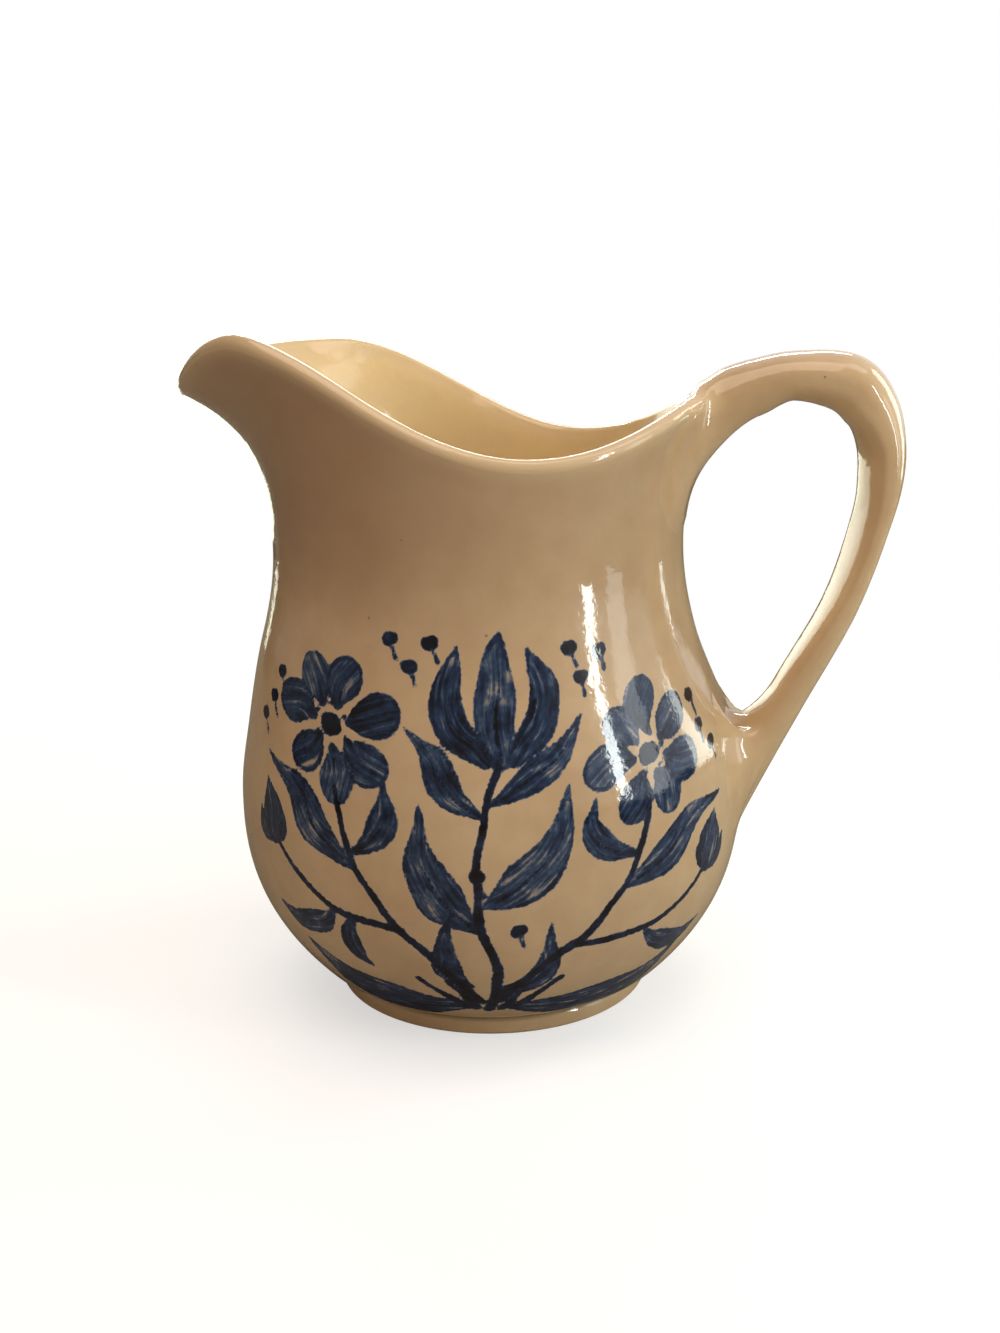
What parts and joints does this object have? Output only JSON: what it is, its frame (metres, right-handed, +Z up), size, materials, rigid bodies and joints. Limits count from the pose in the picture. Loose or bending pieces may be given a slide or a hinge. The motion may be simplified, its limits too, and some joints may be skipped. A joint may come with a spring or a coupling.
{
  "type": "pitcher",
  "caption": "Pear-shaped glazed stoneware pitcher with a broad drawn-up spout, a swept mouth, a thick loop handle and a low foot ring, for holding and pouring drinks",
  "frame": {"origin": "centre of the foot ring's tread, on the surface the pitcher stands on", "axes": "+Z up; +X towards the handle, so the spout points along -X; +Y completes the right-handed frame and is the side hidden in the picture"},
  "size_m": [0.2138, 0.1548, 0.2005],
  "materials": {
    "glazed_clay": "glossy salt-like glaze over buff stoneware",
    "bare_foot": "glazed outside, wiped bare on the tread"
  },
  "bodies": {
    "root": {"foot_ring": "bare_foot", "base": "glazed_clay", "belly": "glazed_clay", "neck": "glazed_clay", "rim": "glazed_clay", "spout": "glazed_clay", "upper_root": "glazed_clay", "handle": "glazed_clay", "lower_root": "glazed_clay"}
  },
  "joints": []
}
